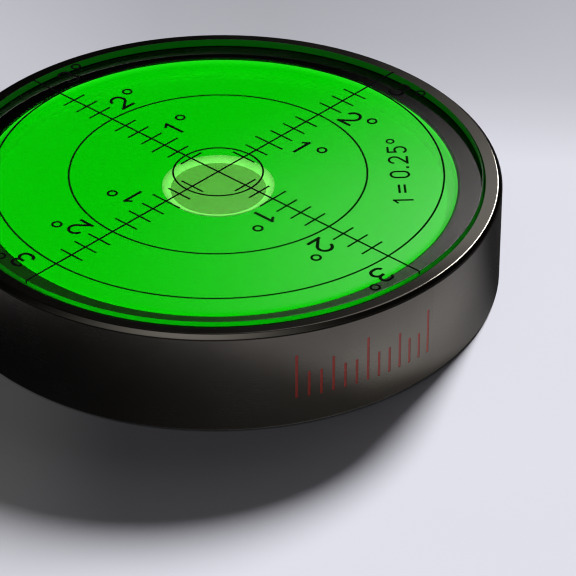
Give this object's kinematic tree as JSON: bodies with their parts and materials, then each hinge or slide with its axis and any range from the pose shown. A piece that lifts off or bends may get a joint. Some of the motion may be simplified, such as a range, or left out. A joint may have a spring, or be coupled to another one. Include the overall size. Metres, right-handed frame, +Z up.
{
  "type": "bullseye level",
  "caption": "Round cased bullseye level: dark turned metal case, clear domed lens with a printed degree dial, green liquid and a moving air bubble.",
  "frame": {"origin": "centre of the flat base", "axes": "+Z up through the lens; +X and +Y along the two printed centre lines"},
  "size_m": [0.06, 0.06, 0.012],
  "materials": {
    "case_metal": "satin",
    "lens_clear": "gloss",
    "adhesive": "gloss",
    "backing": "satin",
    "spirit": "gloss",
    "air": "gloss",
    "screw_steel": "satin",
    "seal_rubber": "matte",
    "ink": "satin",
    "red_paint": "satin"
  },
  "bodies": {
    "case": {"housing": "case_metal", "lens": "lens_clear", "lens_bond": "adhesive", "chamber_liner": "backing", "fill_screw": "screw_steel", "fill_seal": "seal_rubber", "inner_ring_print": "ink", "middle_ring_print": "ink", "outer_ring_print": "ink", "cross_line_print": "ink", "tick_print": "ink", "degree_1_print": "ink", "degree_2_print": "ink", "degree_3_print": "ink", "legend_print": "ink", "index_paint": "red_paint"},
    "liquid": {"liquid": "spirit"},
    "bubble": {"bubble": "air"}
  },
  "joints": [
    {"name": "bubble_bearing", "type": "hinge", "parent": "case", "child": "liquid", "pos_m": [0, 0, 0.007], "axis": [0, 0, 1], "continuous": true},
    {"name": "bubble_tilt", "type": "hinge", "parent": "liquid", "child": "bubble", "pos_m": [0, 0, -0.44041], "axis": [0.7193, 0.6947, 0], "range_deg": [-2.56, 2.24], "stiffness_Nm_per_rad": 0.003, "deforming": ["liquid"]}
  ]
}
